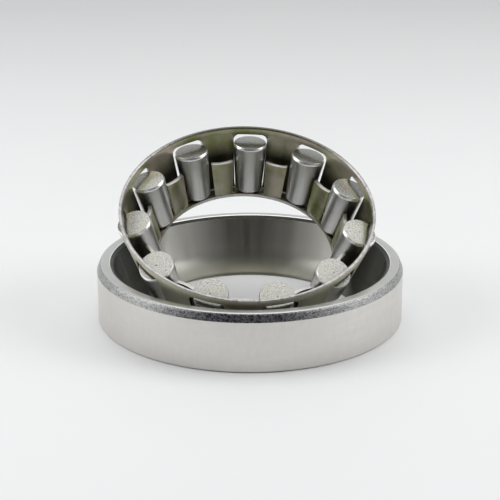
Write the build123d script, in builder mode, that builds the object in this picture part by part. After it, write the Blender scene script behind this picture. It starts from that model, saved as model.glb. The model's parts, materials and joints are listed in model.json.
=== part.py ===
# Roller bearing without an inner ring: a plain outer ring lying flat, and a
# pressed steel cage with eleven rollers leaning inside it.
# Millimetres, +Z up, origin at the centre of the outer ring's lower face.
import os
from math import cos, sin, tan, radians
from build123d import *

os.makedirs("parts", exist_ok=True)

# ---------------------------------------------------------------- dimensions
# outer ring
ring_r = 36.0            # outside radius
ring_h = 13.6            # width of the ring
ring_corner_axial = 1.86  # upper outer corner, long along the axis
ring_corner_radial = 0.80
ring_bottom_round = 0.50
ring_mouth_r = 33.0      # inner edge of the upper face
race_top_r = 32.15       # where the lead-in meets the race
race_top_z = 12.95
race_angle = 20.5        # half angle of the race cone
race_bottom_z = 5.00     # lower end of the race; below it the wall curves inward
lip_r = 25.1             # bore at the foot of the ring
lip_h = 0.70

# cage and rollers as one leaning set
set_origin = (-0.58, -5.12, 27.53)   # centre of the cage's rim
set_tilt = 25.04         # lean towards -Y
set_roll = 1.96          # lean towards +X
roller_count = 11
first_angle = 90 - 0.71  # angle of the first roller in the cage's own plane

# cage, heights are below the rim plane
sheet = 0.85
rim_r = 29.55
rim_band = 1.60          # straight band under the rim
wall_foot_r = 25.30      # outside radius at the foot of the wall
wall_foot_h = 15.10
flange_in_r = 20.50
flange_in_h = 14.10      # upper face of the flange at its inner edge
flange_slope = 16.2      # the flange is square to the rollers
window_top_h = 1.78
window_bottom_h = 15.35
window_top_w = 8.30
window_bottom_w = 6.90
window_round = 1.30
window_start_r = 23.9    # the windows run a little into the foot bend
finger_top_h = 5.95
finger_top_r = 22.78     # inner face, middle of the finger
finger_top_w = 5.45
finger_foot_w = 4.30
finger_bow_r = 8.6       # fingers are bowed towards the axis

# rollers
roller_l = 12.41
roller_big_r = 4.06
roller_big_face_r = 3.80
roller_big_chamfer = 0.58
roller_small_r = 3.23
roller_small_face_r = 2.66
roller_small_chamfer = 0.62
roller_pitch_r = 26.22   # centre of the big end
roller_drop = 2.41       # big end below the rim plane
roller_lean = 16.17      # rollers lean in towards the axis going down

# ------------------------------------------------------------ leaning frame
t, q = radians(set_tilt), radians(set_roll)


def rolled(v):
    x, y, z = v
    return Vector(x * cos(q) + z * sin(q), y, -x * sin(q) + z * cos(q))


axis_n = rolled((0, -sin(t), cos(t)))
dir_x = rolled((1, 0, 0))
dir_y = rolled((0, cos(t), sin(t)))
origin = Vector(*set_origin)
set_axis = Axis(origin, axis_n)
profile_plane = Plane(origin=origin, x_dir=dir_x, z_dir=-dir_y)


def radial(angle):
    a = radians(angle)
    return dir_x * cos(a) + dir_y * sin(a)


def tangent(angle):
    a = radians(angle)
    return dir_x * -sin(a) + dir_y * cos(a)


roller_angles = [first_angle + i * 360 / roller_count for i in range(roller_count)]
finger_angles = [a + 180 / roller_count for a in roller_angles]

# --------------------------------------------------------------- outer ring
race_bottom_r = race_top_r - (race_top_z - race_bottom_z) * tan(radians(race_angle))
with BuildPart() as outer_ring:
    with BuildSketch(Plane.XZ) as ring_profile:
        with BuildLine():
            foot = TangentArc(
                (race_bottom_r, race_bottom_z),
                (lip_r + 0.12, lip_h),
                tangent=(-sin(radians(race_angle)), -cos(radians(race_angle))),
            )
            Polyline(
                (lip_r + 0.12, lip_h),
                (lip_r, lip_h - 0.12),
                (lip_r, 0.20),
                (lip_r + 0.20, 0),
                (ring_r - ring_bottom_round, 0),
                (ring_r, ring_bottom_round),
                (ring_r, ring_h - ring_corner_axial),
                (ring_r - ring_corner_radial, ring_h),
                (ring_mouth_r, ring_h),
                (race_top_r, race_top_z),
                (race_bottom_r, race_bottom_z),
            )
        make_face()
    revolve(axis=Axis.Z)
outer_ring.part.label = "outer_ring"
export_step(outer_ring.part, "parts/outer_ring.step")

# --------------------------------------------------------------------- cage
slope = tan(radians(flange_slope))
flange_drop = sheet / cos(radians(flange_slope))
flange_out_r = wall_foot_r - 1.10

with BuildPart() as cage:
    # wall, rounded foot and flange
    with BuildSketch(profile_plane) as shell_profile:
        with BuildLine():
            Polyline(
                (rim_r - sheet, -0.32),
                (rim_r - sheet + 0.28, 0),
                (rim_r - 0.12, 0),
                (rim_r, -0.15),
                (rim_r - 0.15, -rim_band),
                (wall_foot_r, -wall_foot_h),
                (wall_foot_r - 0.18, -wall_foot_h - 0.55),
                (wall_foot_r - 0.55, -wall_foot_h - 0.88),
                (flange_out_r, -(flange_in_h + flange_drop + (flange_out_r - flange_in_r) * slope)),
                (flange_in_r, -(flange_in_h + flange_drop)),
                (flange_in_r, -flange_in_h),
                (flange_out_r - 0.20, -(flange_in_h + (flange_out_r - 0.20 - flange_in_r) * slope)),
                (wall_foot_r - sheet - 0.09, -wall_foot_h + 0.22),
                (rim_r - sheet - 0.15, -rim_band),
                close=True,
            )
        make_face()
    revolve(axis=set_axis)

    # windows for the rollers, cut through the wall
    for a in roller_angles:
        with BuildSketch(Plane(origin=origin + radial(a) * window_start_r, x_dir=tangent(a), z_dir=radial(a))) as window:
            with BuildLine():
                FilletPolyline(
                    (-window_bottom_w / 2, -window_bottom_h),
                    (window_bottom_w / 2, -window_bottom_h),
                    (window_top_w / 2, -window_top_h),
                    (-window_top_w / 2, -window_top_h),
                    close=True,
                    radius=window_round,
                )
            make_face()
        extrude(amount=8, mode=Mode.SUBTRACT)

    # fingers standing up from the inner edge of the flange
    for a in finger_angles:
        # local y of both planes points to the axis
        foot = Plane(
            origin=origin + radial(a) * flange_in_r - axis_n * (flange_in_h + flange_drop * 0.85),
            x_dir=tangent(a),
            z_dir=axis_n,
        )
        head = Plane(
            origin=origin + radial(a) * finger_top_r - axis_n * finger_top_h,
            x_dir=tangent(a),
            z_dir=axis_n,
        )
        with BuildSketch(foot):
            with BuildLine():
                w = finger_foot_w / 2
                s = w * w / (2 * finger_bow_r)
                l1 = ThreePointArc((-w, -s), (0, 0), (w, -s))
                l2 = Line((w, -s), (w - 0.1, -s - sheet))
                l3 = ThreePointArc((w - 0.1, -s - sheet), (0, -sheet), (-w + 0.1, -s - sheet))
                l4 = Line((-w + 0.1, -s - sheet), (-w, -s))
            make_face()
        with BuildSketch(head):
            with BuildLine():
                w = finger_top_w / 2
                s = w * w / (2 * finger_bow_r)
                l1 = ThreePointArc((-w, -s), (0, 0), (w, -s))
                l2 = Line((w, -s), (w - 0.1, -s - sheet))
                l3 = ThreePointArc((w - 0.1, -s - sheet), (0, -sheet), (-w + 0.1, -s - sheet))
                l4 = Line((-w + 0.1, -s - sheet), (-w, -s))
            make_face()
        loft()
cage.part.label = "cage"
export_step(cage.part, "parts/cage.step")

# ------------------------------------------------------------------ rollers
lean = radians(roller_lean)


def roller_frame(angle):
    """Centre of the big end and the roller's axis, pointing to the big end."""
    ax = axis_n * cos(lean) + radial(angle) * sin(lean)
    c = origin + radial(angle) * roller_pitch_r - axis_n * roller_drop
    return c, ax


for i, a in enumerate(roller_angles, start=1):
    centre, ax = roller_frame(a)
    side = tangent(a)
    with BuildPart() as roller:
        with BuildSketch(Plane(origin=centre, x_dir=side, z_dir=side.cross(ax))):
            with BuildLine():
                Polyline(
                    (0, 0),
                    (roller_big_face_r, 0),
                    (roller_big_r - 0.06, -roller_big_chamfer + 0.14),
                    (roller_big_r, -roller_big_chamfer - 0.1),
                    (roller_small_r, -(roller_l - roller_small_chamfer)),
                    (roller_small_face_r, -roller_l),
                    (0, -roller_l),
                    close=True,
                )
            make_face()
        revolve(axis=Axis(centre, ax))
    roller.part.label = f"roller_{i:02d}"
    export_step(roller.part, f"parts/roller_{i:02d}.step")
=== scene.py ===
import bpy, bmesh, json, math
from mathutils import Matrix, Vector


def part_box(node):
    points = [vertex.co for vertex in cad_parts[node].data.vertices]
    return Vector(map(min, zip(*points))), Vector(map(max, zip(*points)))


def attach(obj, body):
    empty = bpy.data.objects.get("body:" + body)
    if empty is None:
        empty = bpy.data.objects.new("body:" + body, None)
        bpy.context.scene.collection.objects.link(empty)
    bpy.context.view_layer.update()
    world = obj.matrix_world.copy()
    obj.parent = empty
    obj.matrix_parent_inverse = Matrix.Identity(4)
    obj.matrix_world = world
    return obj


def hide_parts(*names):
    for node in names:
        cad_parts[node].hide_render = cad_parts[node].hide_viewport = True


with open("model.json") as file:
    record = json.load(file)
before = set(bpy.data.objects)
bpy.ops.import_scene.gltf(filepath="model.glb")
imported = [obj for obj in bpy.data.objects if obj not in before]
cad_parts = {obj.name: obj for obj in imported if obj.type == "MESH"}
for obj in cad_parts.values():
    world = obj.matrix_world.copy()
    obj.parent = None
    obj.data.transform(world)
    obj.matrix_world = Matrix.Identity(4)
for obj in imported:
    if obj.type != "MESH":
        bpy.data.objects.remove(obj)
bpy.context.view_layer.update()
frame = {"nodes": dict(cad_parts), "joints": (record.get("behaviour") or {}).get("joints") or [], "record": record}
rec = frame["record"]
joints = {j["name"]: j for j in frame["joints"]}
MM = 0.001
cage_axis = Vector(joints["cage_spin"]["axis"]).normalized()
cage_pos = Vector(joints["cage_spin"]["pos_m"])


# ------------------------------------------------------------------ geometry
def rounded(points, steps=5):
    """A closed profile with each corner (x, y, radius, material) rounded. Returns (x, y, material) points; the material is that of the run after the point."""
    n, out = len(points), []
    for i in range(n):
        x, y, r, m = points[i]
        p = Vector((x, y))
        a = Vector(points[i - 1][:2]) - p
        b = Vector(points[(i + 1) % n][:2]) - p
        if r <= 0 or a.length < 1e-9 or b.length < 1e-9:
            out.append((x, y, m))
            continue
        ua, ub = a.normalized(), b.normalized()
        ang = ua.angle(ub)
        if ang > math.radians(178):
            out.append((x, y, m))
            continue
        d = min(r / math.tan(ang / 2), a.length * 0.45, b.length * 0.45)
        r = d * math.tan(ang / 2)
        c = p + (ua + ub).normalized() * (r / math.sin(ang / 2))
        s, e = p + ua * d - c, p + ub * d - c
        for k in range(steps + 1):
            t = k / steps
            v = (s * (1 - t) + e * t).normalized() * r + c
            out.append((v.x, v.y, m if k == steps else (m if t >= 0.5 else points[i - 1][3])))
    return out


def lathe(name, profile, segments, mats, open_profile=False):
    """A turned body about local Z from a profile of (radius, height, material index), in millimetres."""
    bm = bmesh.new()
    rows = []
    for r, z, m in profile:
        if r < 1e-6:
            rows.append([bm.verts.new((0, 0, z * MM))])
        else:
            rows.append([bm.verts.new((r * MM * math.cos(2 * math.pi * k / segments), r * MM * math.sin(2 * math.pi * k / segments), z * MM)) for k in range(segments)])
    n = len(profile)
    for i in range(n - 1 if open_profile else n):
        a, b = rows[i], rows[(i + 1) % n]
        for k in range(segments):
            k2 = (k + 1) % segments
            if len(a) == 1 and len(b) == 1:
                continue
            if len(a) == 1:
                f = bm.faces.new((a[0], b[k], b[k2]))
            elif len(b) == 1:
                f = bm.faces.new((a[k], b[0], a[k2]))
            else:
                f = bm.faces.new((a[k], b[k], b[k2], a[k2]))
            f.material_index = profile[i][2]
            f.smooth = True
    bmesh.ops.recalc_face_normals(bm, faces=bm.faces)
    me = bpy.data.meshes.new(name)
    bm.to_mesh(me)
    bm.free()
    for m in mats:
        me.materials.append(m)
    ob = bpy.data.objects.new(name, me)
    bpy.context.scene.collection.objects.link(ob)
    return ob


# ----------------------------------------------------------------- materials
class Nodes:
    """Short helpers for building one node material."""

    def __init__(self, name):
        self.mat = bpy.data.materials.new(name)
        self.mat.use_nodes = True
        self.t = self.mat.node_tree
        self.bsdf = self.t.nodes["Principled BSDF"]
        self.obj = self.t.nodes.new("ShaderNodeTexCoord").outputs["Object"]

    def link(self, a, b):
        self.t.links.new(a, b)

    def new(self, kind, **props):
        n = self.t.nodes.new(kind)
        for k, v in props.items():
            setattr(n, k, v)
        return n

    def stretch(self, scale, vec=None):
        n = self.new("ShaderNodeMapping")
        n.inputs["Scale"].default_value = scale
        self.link(vec or self.obj, n.inputs["Vector"])
        return n.outputs["Vector"]

    def noise(self, scale, detail=4, rough=0.55, vec=None, distortion=0.0, kind="FBM"):
        n = self.new("ShaderNodeTexNoise")
        n.noise_type = kind
        n.inputs["Scale"].default_value = scale
        n.inputs["Detail"].default_value = detail
        n.inputs["Roughness"].default_value = rough
        n.inputs["Distortion"].default_value = distortion
        self.link(vec or self.obj, n.inputs["Vector"])
        return n.outputs["Fac"]

    def voronoi(self, scale, vec=None, feature="F1"):
        n = self.new("ShaderNodeTexVoronoi", feature=feature)
        n.inputs["Scale"].default_value = scale
        self.link(vec or self.obj, n.inputs["Vector"])
        return n.outputs

    def ramp(self, fac, stops, mode="LINEAR"):
        n = self.new("ShaderNodeValToRGB")
        n.color_ramp.interpolation = mode
        el = n.color_ramp.elements
        while len(el) > 1:
            el.remove(el[-1])
        el[0].position, el[0].color = stops[0][0], self.rgba(stops[0][1])
        for p, c in stops[1:]:
            e = el.new(p)
            e.color = self.rgba(c)
        self.link(fac, n.inputs["Fac"])
        return n.outputs["Color"]

    @staticmethod
    def rgba(c):
        return (c, c, c, 1) if isinstance(c, (int, float)) else (*c[:3], 1)

    def math(self, op, a, b=None, clamp=False):
        n = self.new("ShaderNodeMath", operation=op, use_clamp=clamp)
        for i, v in enumerate((a, b)):
            if v is None:
                continue
            if isinstance(v, (int, float)):
                n.inputs[i].default_value = v
            else:
                self.link(v, n.inputs[i])
        return n.outputs[0]

    def mix(self, fac, a, b, blend="MIX"):
        n = self.new("ShaderNodeMix", data_type="RGBA", blend_type=blend)
        for sock, v in ((n.inputs[0], fac), (n.inputs[6], a), (n.inputs[7], b)):
            if isinstance(v, (int, float)) and sock.type == "VALUE":
                sock.default_value = v
            elif isinstance(v, (tuple, list, int, float)):
                sock.default_value = self.rgba(v)
            else:
                self.link(v, sock)
        return n.outputs[2]

    def span(self, fac, lo, hi, a=0.0, b=1.0):
        n = self.new("ShaderNodeMapRange")
        n.inputs["From Min"].default_value = a
        n.inputs["From Max"].default_value = b
        n.inputs["To Min"].default_value = lo
        n.inputs["To Max"].default_value = hi
        self.link(fac, n.inputs["Value"])
        return n.outputs["Result"]

    def bump(self, height, strength, distance, after=None):
        n = self.new("ShaderNodeBump")
        n.inputs["Strength"].default_value = strength
        n.inputs["Distance"].default_value = distance
        self.link(height, n.inputs["Height"])
        if after is not None:
            self.link(after, n.inputs["Normal"])
        return n.outputs["Normal"]

    def radius(self):
        """Distance from the local Z axis."""
        s = self.new("ShaderNodeSeparateXYZ")
        self.link(self.obj, s.inputs[0])
        c = self.new("ShaderNodeCombineXYZ")
        self.link(s.outputs[0], c.inputs[0])
        self.link(s.outputs[1], c.inputs[1])
        ln = self.new("ShaderNodeVectorMath", operation="LENGTH")
        self.link(c.outputs[0], ln.inputs[0])
        return ln.outputs["Value"]

    def xyz(self):
        s = self.new("ShaderNodeSeparateXYZ")
        self.link(self.obj, s.inputs[0])
        return s.outputs

    def axial(self, point, axis):
        """Height along an axis through a point, and the distance from that axis."""
        d = self.new("ShaderNodeVectorMath", operation="SUBTRACT")
        self.link(self.obj, d.inputs[0])
        d.inputs[1].default_value = tuple(point)
        dot = self.new("ShaderNodeVectorMath", operation="DOT_PRODUCT")
        self.link(d.outputs[0], dot.inputs[0])
        dot.inputs[1].default_value = tuple(axis)
        ln = self.new("ShaderNodeVectorMath", operation="LENGTH")
        self.link(d.outputs[0], ln.inputs[0])
        h = dot.outputs["Value"]
        sq = self.math("SUBTRACT", self.math("MULTIPLY", ln.outputs["Value"], ln.outputs["Value"]), self.math("MULTIPLY", h, h))
        return h, self.math("SQRT", self.math("MAXIMUM", sq, 0.0))

    def around(self, zscale=0.0):
        """A vector that changes only with the angle about local Z, and a little with height."""
        s = self.new("ShaderNodeSeparateXYZ")
        self.link(self.obj, s.inputs[0])
        c = self.new("ShaderNodeCombineXYZ")
        self.link(s.outputs[0], c.inputs[0])
        self.link(s.outputs[1], c.inputs[1])
        nm = self.new("ShaderNodeVectorMath", operation="NORMALIZE")
        self.link(c.outputs[0], nm.inputs[0])
        s2 = self.new("ShaderNodeSeparateXYZ")
        self.link(nm.outputs[0], s2.inputs[0])
        c2 = self.new("ShaderNodeCombineXYZ")
        self.link(s2.outputs[0], c2.inputs[0])
        self.link(s2.outputs[1], c2.inputs[1])
        self.link(self.math("MULTIPLY", s.outputs[2], zscale), c2.inputs[2])
        return c2.outputs[0]

    def done(self, color, rough, normal=None, metallic=1.0, **sockets):
        self.bsdf.inputs["Metallic"].default_value = metallic
        if isinstance(color, (tuple, list)):
            self.bsdf.inputs["Base Color"].default_value = self.rgba(color)
        else:
            self.link(color, self.bsdf.inputs["Base Color"])
        if isinstance(rough, (int, float)):
            self.bsdf.inputs["Roughness"].default_value = rough
        else:
            self.link(rough, self.bsdf.inputs["Roughness"])
        if normal is not None:
            self.link(normal, self.bsdf.inputs["Normal"])
        for k, v in sockets.items():
            self.bsdf.inputs[k].default_value = v
        return self.mat


def ring_outside():
    n = Nodes("ring_outside_ground")
    lines = n.noise(1, 6, 0.65, n.stretch((60, 60, 9000)))
    cloud = n.noise(90, 4, 0.6)
    patch = n.noise(30, 3, 0.5, n.around(14.0))
    smear = n.noise(1, 4, 0.6, n.stretch((90, 90, 900)))
    grain = n.noise(5200, 2, 0.5)
    base = n.mix(cloud, (0.66, 0.635, 0.605), (0.74, 0.718, 0.69))
    base = n.mix(n.span(patch, 0, 0.45, 0.35, 0.75), base, (0.62, 0.61, 0.59))
    base = n.mix(n.span(smear, 0, 0.30, 0.55, 0.8), base, (0.86, 0.85, 0.83))
    base = n.mix(n.span(lines, 0.0, 0.22, 0.45, 0.8), base, (0.84, 0.83, 0.81))
    rough = n.span(n.mix(0.4, cloud, lines), 0.30, 0.44, 0.3, 0.7)
    h = n.bump(lines, 0.10, 0.00002)
    h = n.bump(grain, 0.10, 0.00001, h)
    return n.done(base, rough, h)


def ring_corner():
    n = Nodes("ring_corner_turned")
    coarse = n.noise(1250, 5, 0.75, n.stretch((1, 1, 1.6)), distortion=0.8)
    spark = n.noise(2600, 3, 0.75)
    broad = n.noise(70, 3, 0.6)
    x = n.math("ABSOLUTE", n.xyz()[0])
    # painted dark reflection: near x = 0 the corner's colour turns purple-black
    centre_painted_dark = n.span(n.math("ADD", x, n.math("MULTIPLY", broad, 0.012)), 1.0, 0.0, 0.012, 0.030)
    pit = n.ramp(n.mix(0.5, coarse, spark), [(0.40, 0.0), (0.50, 0.35), (0.55, 0.85), (0.60, 1.0)])
    base = n.mix(pit, (0.23, 0.23, 0.232), (0.48, 0.48, 0.472))
    dark = n.mix(pit, (0.035, 0.031, 0.058), (0.30, 0.30, 0.31))
    base = n.mix(centre_painted_dark, base, dark)
    rough = n.mix(pit, 0.24, 0.40)
    h = n.bump(coarse, 0.70, 0.00016)
    h = n.bump(spark, 0.60, 0.00008, h)
    return n.done(base, rough, h)


def ring_face():
    n = Nodes("ring_face_ground")
    r = n.radius()
    c = n.new("ShaderNodeCombineXYZ")
    n.link(n.math("MULTIPLY", r, 9000.0), c.inputs[0])
    turn = n.noise(1, 3, 0.6, c.outputs[0])
    cloud = n.noise(160, 5, 0.65)
    grain = n.noise(3400, 3, 0.6)
    base = n.mix(cloud, (0.56, 0.555, 0.535), (0.74, 0.735, 0.71))
    base = n.mix(n.span(grain, 0, 0.45, 0.42, 0.75), base, (0.46, 0.455, 0.44))
    rough = n.span(n.mix(0.5, cloud, grain), 0.34, 0.48, 0.3, 0.7)
    h = n.bump(turn, 0.12, 0.00002)
    h = n.bump(grain, 0.30, 0.00003, h)
    return n.done(base, rough, h)


def ring_edge():
    n = Nodes("ring_lead_in_dark")
    coarse = n.noise(700, 4, 0.6)
    # painted shade: the lead-in's near-black base colour stands in for shade
    base = n.mix(coarse, (0.022, 0.021, 0.017), (0.060, 0.059, 0.050))
    # towards the front (-Y) the painted shade gives way to a lighter grey
    front_shade_lifted = n.span(n.xyz()[1], 0.0, 0.9, -0.014, -0.025)
    base = n.mix(front_shade_lifted, base, n.mix(coarse, (0.50, 0.49, 0.46), (0.66, 0.65, 0.62)))
    return n.done(base, n.span(coarse, 0.30, 0.48, 0.3, 0.7), n.bump(coarse, 0.3, 0.00005))


def ring_race():
    n = Nodes("ring_race_honed")
    streak = n.noise(9, 4, 0.5, n.around(1.2))
    wide = n.noise(2.6, 3, 0.5, n.around(0.6))
    fine = n.noise(1, 5, 0.6, n.stretch((80, 80, 7000)))
    cloud = n.noise(75, 4, 0.6)
    base = n.mix(n.span(wide, 0, 1, 0.35, 0.65), (0.34, 0.325, 0.270), (0.46, 0.455, 0.42))
    base = n.mix(n.span(streak, 0, 0.45, 0.38, 0.70), base, (0.54, 0.535, 0.505))
    base = n.mix(n.span(cloud, 0, 0.35, 0.45, 0.75), base, (0.32, 0.30, 0.24))
    x, y, z = n.xyz()
    foot = n.span(z, 1.0, 0.0, 0.0015, 0.0065)      # the curved foot is duller than the race
    base = n.mix(foot, base, n.mix(cloud, (0.155, 0.150, 0.108), (0.24, 0.235, 0.19)))
    # painted light: the race is lightened towards its left and right sides (large |x|), above the foot
    side_painted_light = n.span(n.math("ABSOLUTE", x), 0.0, 0.75, 0.006, 0.017)
    base = n.mix(n.math("MULTIPLY", side_painted_light, n.span(z, 0.35, 1.0, 0.001, 0.006)), base, (0.80, 0.79, 0.755))
    side = n.math("ADD", n.math("ABSOLUTE", x), n.math("MULTIPLY", cloud, 0.003))
    side_painted_shade = n.math("MULTIPLY", n.span(side, 0.0, 1.0, 0.0220, 0.0265), n.span(y, 0.12, 1.0, -0.028, -0.014))
    base = n.mix(side_painted_shade, base, n.mix(streak, (0.004, 0.004, 0.003), (0.014, 0.014, 0.009)))   # painted shade: near-black on both sides of the race, fading towards the front
    rough = n.math("ADD", n.span(streak, 0.26, 0.36, 0.3, 0.7), n.math("MULTIPLY", foot, 0.14))
    h = n.bump(fine, 0.10, 0.00002)
    mat = n.done(base, rough, h)
    n.bsdf.inputs["Specular IOR Level"].default_value = 0.12
    # the metal is turned off where the painted shade lies
    n.link(n.span(side_painted_shade, 1.0, 0.0), n.bsdf.inputs["Metallic"])
    return mat


def cage_sheet():
    n = Nodes("cage_pressed_sheet")
    cloud = n.noise(230, 5, 0.65)
    big = n.noise(105, 4, 0.6, distortion=0.7)
    rosy = n.noise(95, 3, 0.6, n.stretch((1, 1.3, 0.8)))
    drawn = n.noise(1, 4, 0.6, n.stretch((420, 420, 60)))
    grain = n.noise(2600, 3, 0.6)
    base = n.mix(n.span(big, 0, 1, 0.38, 0.62), (0.255, 0.285, 0.098), (0.51, 0.485, 0.385))
    base = n.mix(n.span(cloud, 0, 0.60, 0.4, 0.7), base, (0.47, 0.45, 0.38))
    base = n.mix(n.span(rosy, 0, 0.75, 0.48, 0.66), base, (0.54, 0.46, 0.42))
    base = n.mix(n.span(drawn, 0, 0.40, 0.45, 0.75), base, (0.28, 0.285, 0.19))
    h_ax, r = n.axial(cage_pos, cage_axis)                       # painted shade: a near-black strip on the wall behind the fingers
    wall = n.math("ABSOLUTE", n.math("SUBTRACT", r, n.math("ADD", n.math("MULTIPLY", h_ax, 0.2815), 0.0287)))
    inner = n.span(wall, 1.0, 0.0, 0.00025, 0.00060)
    deep = n.span(h_ax, 1.0, 0.0, -0.0070, -0.0032)
    shade = n.math("MULTIPLY", inner, deep)
    # painted shade: the flange top between the finger feet is darkened too
    flange_painted_shade = n.math("MULTIPLY", n.span(h_ax, 1.0, 0.0, -0.0142, -0.0136), n.span(r, 0.0, 0.9, 0.0213, 0.0219))
    shade = n.math("MAXIMUM", shade, flange_painted_shade)
    # painted light: the outer side of the sheet gets a lighter base colour
    outside = n.span(n.math("SUBTRACT", r, n.math("ADD", n.math("MULTIPLY", h_ax, 0.2815), 0.0287)), 0.0, 1.0, 0.00055, 0.00075)
    base = n.mix(n.math("MULTIPLY", outside, 0.7), base, (0.66, 0.655, 0.56))
    base = n.mix(n.math("MULTIPLY", shade, 0.86), base, (0.035, 0.036, 0.022))
    rough = n.span(n.mix(0.5, cloud, grain), 0.28, 0.46, 0.3, 0.7)
    rough = n.math("ADD", rough, n.math("MULTIPLY", n.math("ADD", shade, outside), 0.18))
    h = n.bump(cloud, 0.16, 0.00010)
    h = n.bump(grain, 0.22, 0.00003, h)
    return n.done(base, rough, h)


def cage_edge(name="cage_sheared_edge", painted_shade=False):
    n = Nodes(name)
    tear = n.noise(900, 4, 0.65)
    fine = n.noise(4200, 2, 0.5)
    base = n.mix(tear, (0.34, 0.33, 0.30), (0.74, 0.72, 0.69))
    if painted_shade:
        # painted shade: the window edges are darkened everywhere except towards the rear (+Y)
        base = n.mix(n.span(n.xyz()[1], 0.93, 0.0, 0.0085, 0.0135), base, (0.045, 0.045, 0.03))
    rough = n.span(tear, 0.32, 0.50, 0.3, 0.7)
    h = n.bump(tear, 0.35, 0.00008)
    h = n.bump(fine, 0.20, 0.00002, h)
    return n.done(base, rough, h)


def cage_rim():
    n = Nodes("cage_rim_edge")
    tear = n.noise(900, 4, 0.7)
    wide = n.noise(60, 3, 0.5)
    fine = n.noise(4200, 2, 0.5)
    base = n.mix(n.span(tear, 0, 1, 0.35, 0.65), (0.20, 0.19, 0.183), (0.58, 0.55, 0.555))
    base = n.mix(n.span(wide, 0, 0.6, 0.4, 0.7), base, (0.52, 0.49, 0.485))
    sep = n.new("ShaderNodeSeparateXYZ")
    n.link(n.obj, sep.inputs[0])
    # painted shade: the rim is darkened towards the rear (+Y)
    rear_painted_shade = n.span(n.math("ADD", sep.outputs[1], n.math("MULTIPLY", wide, 0.004)), 0.0, 1.0, 0.006, 0.024)
    base = n.mix(rear_painted_shade, base, (0.15, 0.145, 0.105))
    rough = n.span(tear, 0.24, 0.42, 0.3, 0.7)
    h = n.bump(tear, 0.45, 0.00010)
    h = n.bump(fine, 0.20, 0.00002, h)
    return n.done(base, rough, h)


def roller_side():
    n = Nodes("roller_side_ground")
    lines = n.noise(1, 5, 0.6, n.stretch((120, 120, 11000)))
    cloud = n.noise(170, 4, 0.6)
    along = n.noise(7, 4, 0.6, n.around(8.0))
    base = n.mix(cloud, (0.58, 0.58, 0.565), (0.70, 0.70, 0.685))
    base = n.mix(n.span(along, 0, 0.30, 0.4, 0.7), base, (0.42, 0.42, 0.405))
    rough = n.span(n.mix(0.5, cloud, lines), 0.25, 0.36, 0.3, 0.7)
    h = n.bump(lines, 0.08, 0.000015)
    return n.done(base, rough, h)


def roller_end(name="roller_end_ground", dark=0.45):
    n = Nodes(name)
    hatch = n.noise(1, 5, 0.7, n.stretch((3600, 1300, 500)), distortion=0.4)
    turn = n.new("ShaderNodeMapping")
    turn.inputs["Rotation"].default_value = (0, 0, 1.1)
    n.link(n.obj, turn.inputs["Vector"])
    hatch2 = n.noise(1, 5, 0.7, n.stretch((3300, 1400, 500), turn.outputs[0]), distortion=0.4)
    speck = n.noise(2700, 4, 0.7)
    cloud = n.noise(260, 3, 0.5)
    r = n.radius()
    edge = n.noise(3000, 2, 0.5)
    dot = n.span(n.math("ADD", r, n.math("MULTIPLY", edge, 0.0002)), dark, 1.0, 0.00018, 0.00040)
    tone = n.mix(0.5, hatch, hatch2)
    base = n.mix(n.span(n.mix(0.35, tone, speck), 0, 1, 0.42, 0.58), (0.27, 0.265, 0.243), (0.53, 0.525, 0.495))
    base = n.mix(n.span(cloud, 0, 0.30, 0.4, 0.7), base, (0.42, 0.42, 0.33))
    base = n.mix(dot, (0.05, 0.05, 0.05), base)
    rough = n.span(n.mix(0.5, tone, speck), 0.16, 0.30, 0.3, 0.7)
    h = n.bump(tone, 0.14, 0.00002)
    h = n.bump(speck, 0.15, 0.00002, h)
    return n.done(base, rough, h)


def roller_chamfer(name="roller_chamfer_bright"):
    n = Nodes(name)
    cut = n.noise(1, 4, 0.6, n.stretch((300, 300, 9000)))
    fine = n.noise(2400, 2, 0.5)
    base = n.mix(cut, (0.88, 0.875, 0.86), (0.97, 0.965, 0.955))
    rough = n.span(fine, 0.26, 0.36, 0.3, 0.7)
    return n.done(base, rough, n.bump(cut, 0.08, 0.00001))


M_OUT, M_CORNER, M_FACE, M_EDGE, M_RACE = ring_outside(), ring_corner(), ring_face(), ring_edge(), ring_race()
M_SHEET, M_CUT, M_RIM = cage_sheet(), cage_edge(), cage_rim()
M_SIDE, M_END, M_CHAM = roller_side(), roller_end(), roller_chamfer()
M_END_MARKED = roller_end("roller_end_marked", 0.0)
M_LIP = roller_chamfer("ring_mouth_edge")
M_WINDOW = cage_edge("cage_window_edge", True)

# ---------------------------------------------------------------- outer ring
lo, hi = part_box("outer_ring")
R, H = hi.x / MM, hi.z / MM
q = math.radians(20.5)
foot_top = Vector((32.15 - (12.95 - 5.0) * math.tan(q), 5.0))   # the race ends here and the wall curves inward
foot_low = Vector((25.22, 0.70))
tang = Vector((-math.sin(q), -math.cos(q)))
norm = Vector((-math.cos(q), math.sin(q)))
chord = foot_low - foot_top
rad = chord.length_squared / (2 * chord.dot(norm))
cen = foot_top + norm * rad
sweep = (foot_top - cen).angle_signed(foot_low - cen)
foot = []
for k in range(15):
    v = (foot_top - cen).copy()
    v.rotate(Matrix.Rotation(-sweep * k / 14, 2))
    foot.append(cen + v)
ring_profile = rounded([
    (25.30, 0.0, 0.05, 2),
    (R, 0.0, 0.50, 0),
    (R, H - 1.86, 0.40, 1),
    (R - 0.80, H, 0.90, 2),
    (33.10, H, 0.03, 5),
    (32.93, H - 0.13, 0.03, 3),
    (32.15, 12.95, 0.20, 4),
] + [(p.x, p.y, 0, 4) for p in foot] + [
    (25.10, 0.50, 0.08, 4),
    (25.10, 0.20, 0.06, 2),
], 6)
ring = lathe("outer_ring_shell", ring_profile, 384, [M_OUT, M_CORNER, M_FACE, M_EDGE, M_RACE, M_LIP])
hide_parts("outer_ring")
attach(ring, "ring")

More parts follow.
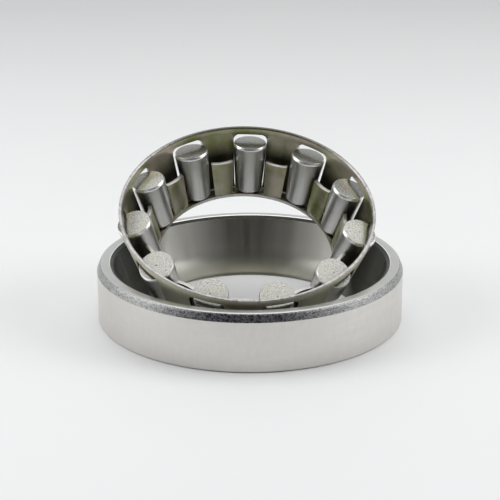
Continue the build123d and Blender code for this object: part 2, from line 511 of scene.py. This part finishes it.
# ------------------------------------------------------------------- rollers
RL = 12.41
roller_profile = [(0.0, 0.0, 1)] + [
    p for p in rounded([
        (0.0, 0.0, 0, 1),
        (3.80, 0.0, 0.05, 2),
        (4.00, -0.44, 0.10, 2),
        (4.06, -0.68, 0.30, 0),
        (3.23, -(RL - 0.62), 0.25, 2),
        (2.66, -RL, 0.10, 1),
        (0.0, -RL, 0, 1),
    ], 4) if p[0] > 1e-6
] + [(0.0, -RL, 1)]
for i in range(1, 12):
    name = f"roller_{i:02d}"
    j = joints[name + "_spin"]
    z = Vector(j["axis"]).normalized()
    mid = Vector(j["pos_m"])
    x = z.cross(cage_axis).normalized()
    y = z.cross(x)
    top = mid + z * (RL / 2 * MM)
    ob = lathe(name + "_body", roller_profile, 112, [M_SIDE, M_END_MARKED if i == 5 else M_END, M_CHAM], open_profile=True)
    spin = Matrix.Rotation(i * 1.9, 4, "Z")
    ob.matrix_world = Matrix.Translation(top) @ Matrix((x, y, z)).transposed().to_4x4() @ spin
    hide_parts(name)
    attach(ob, name)

# ---------------------------------------------------------------------- cage
src = frame["nodes"]["cage"]
bm = bmesh.new()
bm.from_mesh(src.data)
bmesh.ops.remove_doubles(bm, verts=bm.verts, dist=2e-6)
bmesh.ops.recalc_face_normals(bm, faces=bm.faces)
bmesh.ops.dissolve_limit(bm, angle_limit=math.radians(0.6), verts=bm.verts, edges=bm.edges)
zc = cage_axis
xc = Vector((1, 0, 0))
xc = (xc - zc * xc.dot(zc)).normalized()
yc = zc.cross(xc)


def kind(f):
    """0 for the sheet's own surfaces, 1 for its cut edges, 2 for the rim's edge, 3 for the windows' edges."""
    d = f.calc_center_median() - cage_pos
    h = d.dot(zc) / MM
    q = d - zc * d.dot(zc)
    r = q.length / MM
    rad = q.normalized()
    tan = zc.cross(rad)
    nr, nt, nz = f.normal.dot(rad), f.normal.dot(tan), f.normal.dot(zc)
    if h > -0.40 and nz > 0.3:
        return 2
    if r < 24.9 and h > -13.9:                    # fingers: only the top is a bright cut
        return 1 if nz > 0.75 else 0
    if r > 23.8 and -15.45 < h < -1.0:            # windows
        return 3 if (abs(nt) > 0.6 or abs(nz) > 0.80) else 0
    if r < 20.9 and h < -13.9:                    # inner edge of the flange
        return 1 if nr < -0.75 else 0
    return 0


sharp = [e for e in bm.edges if len(e.link_faces) == 2 and e.calc_face_angle(0) > math.radians(38)]
for f in bm.faces:
    f.material_index = kind(f)
    f.smooth = True
geom = bmesh.ops.bevel(bm, geom=sharp, offset=0.10 * MM, offset_type="OFFSET", segments=2, profile=0.5, affect="EDGES", clamp_overlap=True, material=-1)
for f in bm.faces:
    f.smooth = True
me = bpy.data.meshes.new("cage_shell")
bm.to_mesh(me)
bm.free()
me.materials.append(M_SHEET)
me.materials.append(M_CUT)
me.materials.append(M_RIM)
me.materials.append(M_WINDOW)
cage = bpy.data.objects.new("cage_shell", me)
bpy.context.scene.collection.objects.link(cage)
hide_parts("cage")
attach(cage, "cage")

# --------------------------------------------------------------------- floor
fm = Nodes("floor_pale")
fc = fm.mix(fm.noise(9, 3, 0.5), (0.86, 0.87, 0.87), (0.90, 0.905, 0.905))
M_FLOOR = fm.done(fc, 0.6, None, 0.0)
bpy.ops.mesh.primitive_plane_add(size=6.0, location=(0, 0.6, 0))
floor = bpy.context.object
floor.name = "floor"
floor.data.materials.append(M_FLOOR)

# -------------------------------------------------------------------- lights
world = bpy.data.worlds.new("studio")
bpy.context.scene.world = world
world.use_nodes = True
wt = world.node_tree
bg = wt.nodes["Background"]
tc = wt.nodes.new("ShaderNodeTexCoord")
sep = wt.nodes.new("ShaderNodeSeparateXYZ")
wt.links.new(tc.outputs["Generated"], sep.inputs[0])
mr = wt.nodes.new("ShaderNodeMapRange")          # darker towards -Y, lighter behind the object
mr.inputs["From Min"].default_value = -0.9
mr.inputs["From Max"].default_value = 0.7
mr.inputs["To Min"].default_value = 0.06
mr.inputs["To Max"].default_value = 0.85
wt.links.new(sep.outputs[1], mr.inputs["Value"])
hz = wt.nodes.new("ShaderNodeMapRange")          # brighter near the horizon than overhead
hz.interpolation_type = "SMOOTHSTEP"
hz.inputs["From Min"].default_value = 0.40
hz.inputs["From Max"].default_value = 0.62
hz.inputs["To Min"].default_value = 1.0
hz.inputs["To Max"].default_value = 0.55
wt.links.new(sep.outputs[2], hz.inputs["Value"])
mm = wt.nodes.new("ShaderNodeMath")
mm.operation = "MULTIPLY"
wt.links.new(mr.outputs[0], mm.inputs[0])
wt.links.new(hz.outputs[0], mm.inputs[1])
wt.links.new(mm.outputs[0], bg.inputs["Strength"])
bg.inputs["Color"].default_value = (0.97, 0.99, 1.0, 1)


def area(name, loc, target, size, power, size_y=None, color=(1, 1, 1)):
    l = bpy.data.lights.new(name, "AREA")
    l.energy, l.color = power, color
    l.shape = "RECTANGLE"
    l.size, l.size_y = size, size_y or size
    o = bpy.data.objects.new(name, l)
    o.location = loc
    o.rotation_euler = (Vector(target) - Vector(loc)).to_track_quat("-Z", "Y").to_euler()
    bpy.context.scene.collection.objects.link(o)
    return o


mid = (0, 0, 0.018)
area("top_soft", (0.022, 0.09, 0.62), mid, 0.70, 1.72, 0.66)
area("left_soft", (-0.40, -0.02, 0.28), (-0.11, -0.02, 0), 0.30, 0.85, 0.30)
area("right_soft", (0.40, -0.02, 0.28), (0.11, -0.02, 0), 0.30, 0.85, 0.30)
area("front_floor", (0.0, -0.36, 0.40), (0, -0.32, 0), 0.55, 0.03, 0.20)

# -------------------------------------------------------------------- camera
cam = bpy.data.cameras.new("camera")
cam.sensor_width = 36.0
cam.lens = 108.96
camera = bpy.data.objects.new("camera", cam)
camera.location = (0.0, -0.33617, 0.13442)
camera.rotation_euler = (Vector((0, 0, 0.01563)) - camera.location).to_track_quat("-Z", "Y").to_euler()
cam.clip_start, cam.clip_end = 0.01, 20
bpy.context.scene.collection.objects.link(camera)
bpy.context.scene.camera = camera
bpy.context.scene.view_settings.view_transform = "Standard"
